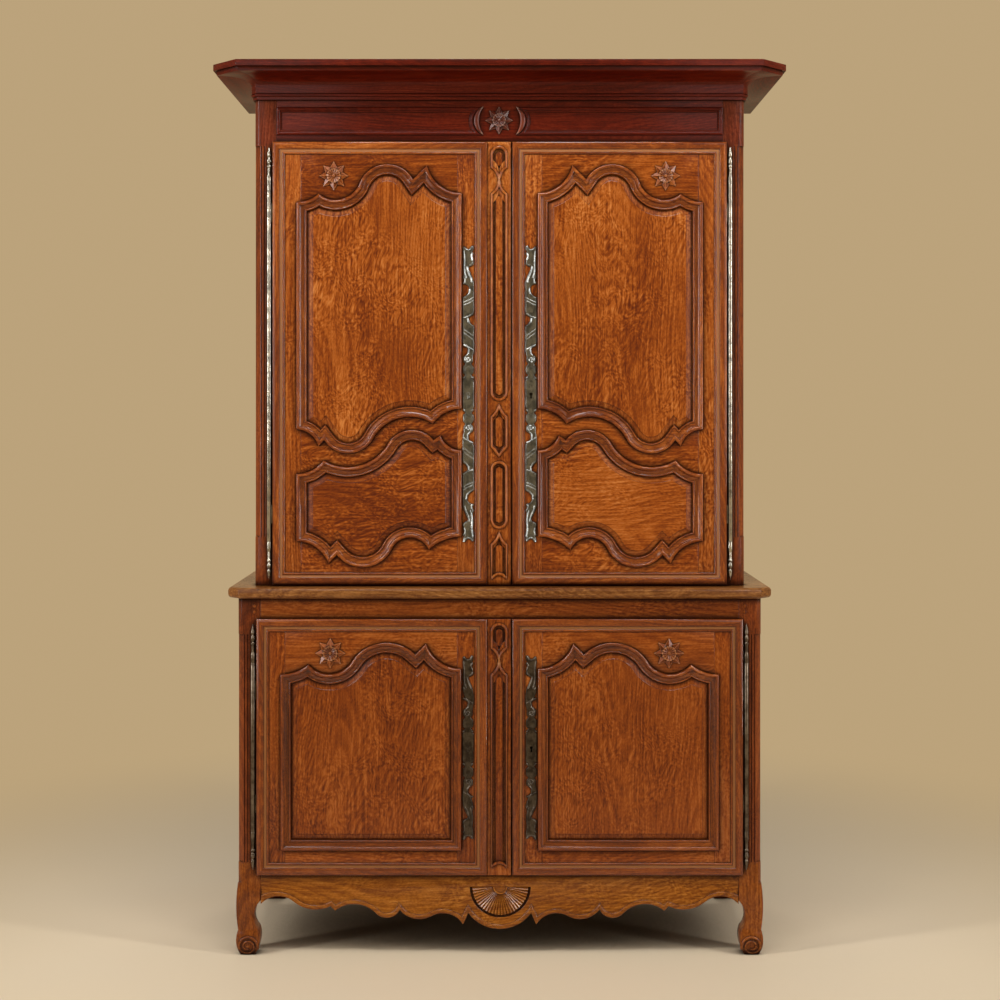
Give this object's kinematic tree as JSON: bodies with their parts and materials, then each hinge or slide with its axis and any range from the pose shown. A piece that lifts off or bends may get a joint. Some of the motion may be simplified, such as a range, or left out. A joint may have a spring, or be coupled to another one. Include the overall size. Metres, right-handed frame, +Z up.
{
  "type": "two-part cupboard",
  "caption": "Two-part oak housekeeper's cupboard with a canted cornice, shaped panelled doors on long pin hinges, pierced lock plates, a scalloped apron and scroll feet.",
  "frame": {"origin": "centre of the bounding box's bottom, on the floor", "axes": "+Z up, +X to the viewer's right, the doors face -Y"},
  "size_m": [1.57, 0.644, 2.44],
  "materials": {
    "oak_case": "waxed dark oak",
    "oak_door": "waxed honey oak",
    "oak_base": "waxed oak",
    "oak_inside": "dry oak",
    "hinge_steel": "polished steel",
    "plate_iron": "burnished pierced iron",
    "lock_iron": "dark iron"
  },
  "bodies": {
    "case": {"cornice": "oak_case", "roof_board": "oak_inside", "frieze_rail": "oak_case", "upper_left_post": "oak_case", "upper_right_post": "oak_case", "upper_back_posts": "oak_inside", "upper_side_rails": "oak_case", "upper_side_panels": "oak_case", "upper_back_boards": "oak_inside", "upper_floor": "oak_inside", "upper_sill": "oak_case", "upper_shelves": "oak_inside", "shelf_battens": "oak_inside", "base_top": "oak_base", "base_left_leg": "oak_base", "base_right_leg": "oak_base", "base_back_legs": "oak_base", "base_top_rail": "oak_base", "base_apron": "oak_base", "base_side_rails": "oak_base", "base_side_panels": "oak_base", "base_back_boards": "oak_inside", "back_rails": "oak_inside", "base_floor": "oak_inside", "base_shelf": "oak_inside", "hinge_knuckles": "hinge_steel"},
    "upper_left_door": {"upper_door_left_stiles": "oak_door", "upper_door_left_rails": "oak_door", "upper_door_left_panels": "oak_door", "upper_door_left_mouldings": "oak_door", "upper_door_left_lock_plate": "plate_iron", "upper_door_left_hinge_barrel": "hinge_steel", "upper_door_mullion": "oak_case", "upper_door_latch_plate": "lock_iron"},
    "upper_right_door": {"upper_door_right_stiles": "oak_door", "upper_door_right_rails": "oak_door", "upper_door_right_panels": "oak_door", "upper_door_right_mouldings": "oak_door", "upper_door_right_lock_plate": "plate_iron", "upper_door_right_hinge_barrel": "hinge_steel", "upper_door_lock_case": "lock_iron"},
    "upper_latch_rod": {"upper_door_latch_rod": "lock_iron"},
    "upper_lock_bolt": {"upper_door_lock_bolt": "lock_iron"},
    "base_left_door": {"base_door_left_stiles": "oak_door", "base_door_left_rails": "oak_door", "base_door_left_panels": "oak_door", "base_door_left_mouldings": "oak_door", "base_door_left_lock_plate": "plate_iron", "base_door_left_hinge_barrel": "hinge_steel", "base_door_mullion": "oak_case", "base_door_latch_plate": "lock_iron"},
    "base_right_door": {"base_door_right_stiles": "oak_door", "base_door_right_rails": "oak_door", "base_door_right_panels": "oak_door", "base_door_right_mouldings": "oak_door", "base_door_right_lock_plate": "plate_iron", "base_door_right_hinge_barrel": "hinge_steel", "base_door_lock_case": "lock_iron"},
    "base_latch_rod": {"base_door_latch_rod": "lock_iron"},
    "base_lock_bolt": {"base_door_lock_bolt": "lock_iron"}
  },
  "joints": [
    {"name": "upper_left_hinge", "type": "hinge", "parent": "case", "child": "upper_left_door", "pos_m": [-0.636, -0.22, 1], "axis": [0, 0, -1], "range_deg": [0, 160]},
    {"name": "upper_right_hinge", "type": "hinge", "parent": "case", "child": "upper_right_door", "pos_m": [0.636, -0.22, 1], "axis": [0, 0, 1], "range_deg": [0, 160]},
    {"name": "upper_bolt_throw", "type": "slide", "parent": "upper_right_door", "child": "upper_lock_bolt", "axis": [-1, 0, 0], "range_m": [0, 0.02]},
    {"name": "upper_latch_slide", "type": "slide", "parent": "upper_left_door", "child": "upper_latch_rod", "axis": [0, 0, 1], "range_m": [0, 0.025]},
    {"name": "base_left_hinge", "type": "hinge", "parent": "case", "child": "base_left_door", "pos_m": [-0.675, -0.255, 1], "axis": [0, 0, -1], "range_deg": [0, 160]},
    {"name": "base_right_hinge", "type": "hinge", "parent": "case", "child": "base_right_door", "pos_m": [0.675, -0.255, 1], "axis": [0, 0, 1], "range_deg": [0, 160]},
    {"name": "base_bolt_throw", "type": "slide", "parent": "base_right_door", "child": "base_lock_bolt", "axis": [-1, 0, 0], "range_m": [0, 0.02]},
    {"name": "base_latch_slide", "type": "slide", "parent": "base_left_door", "child": "base_latch_rod", "axis": [0, 0, 1], "range_m": [0, 0.025]}
  ]
}
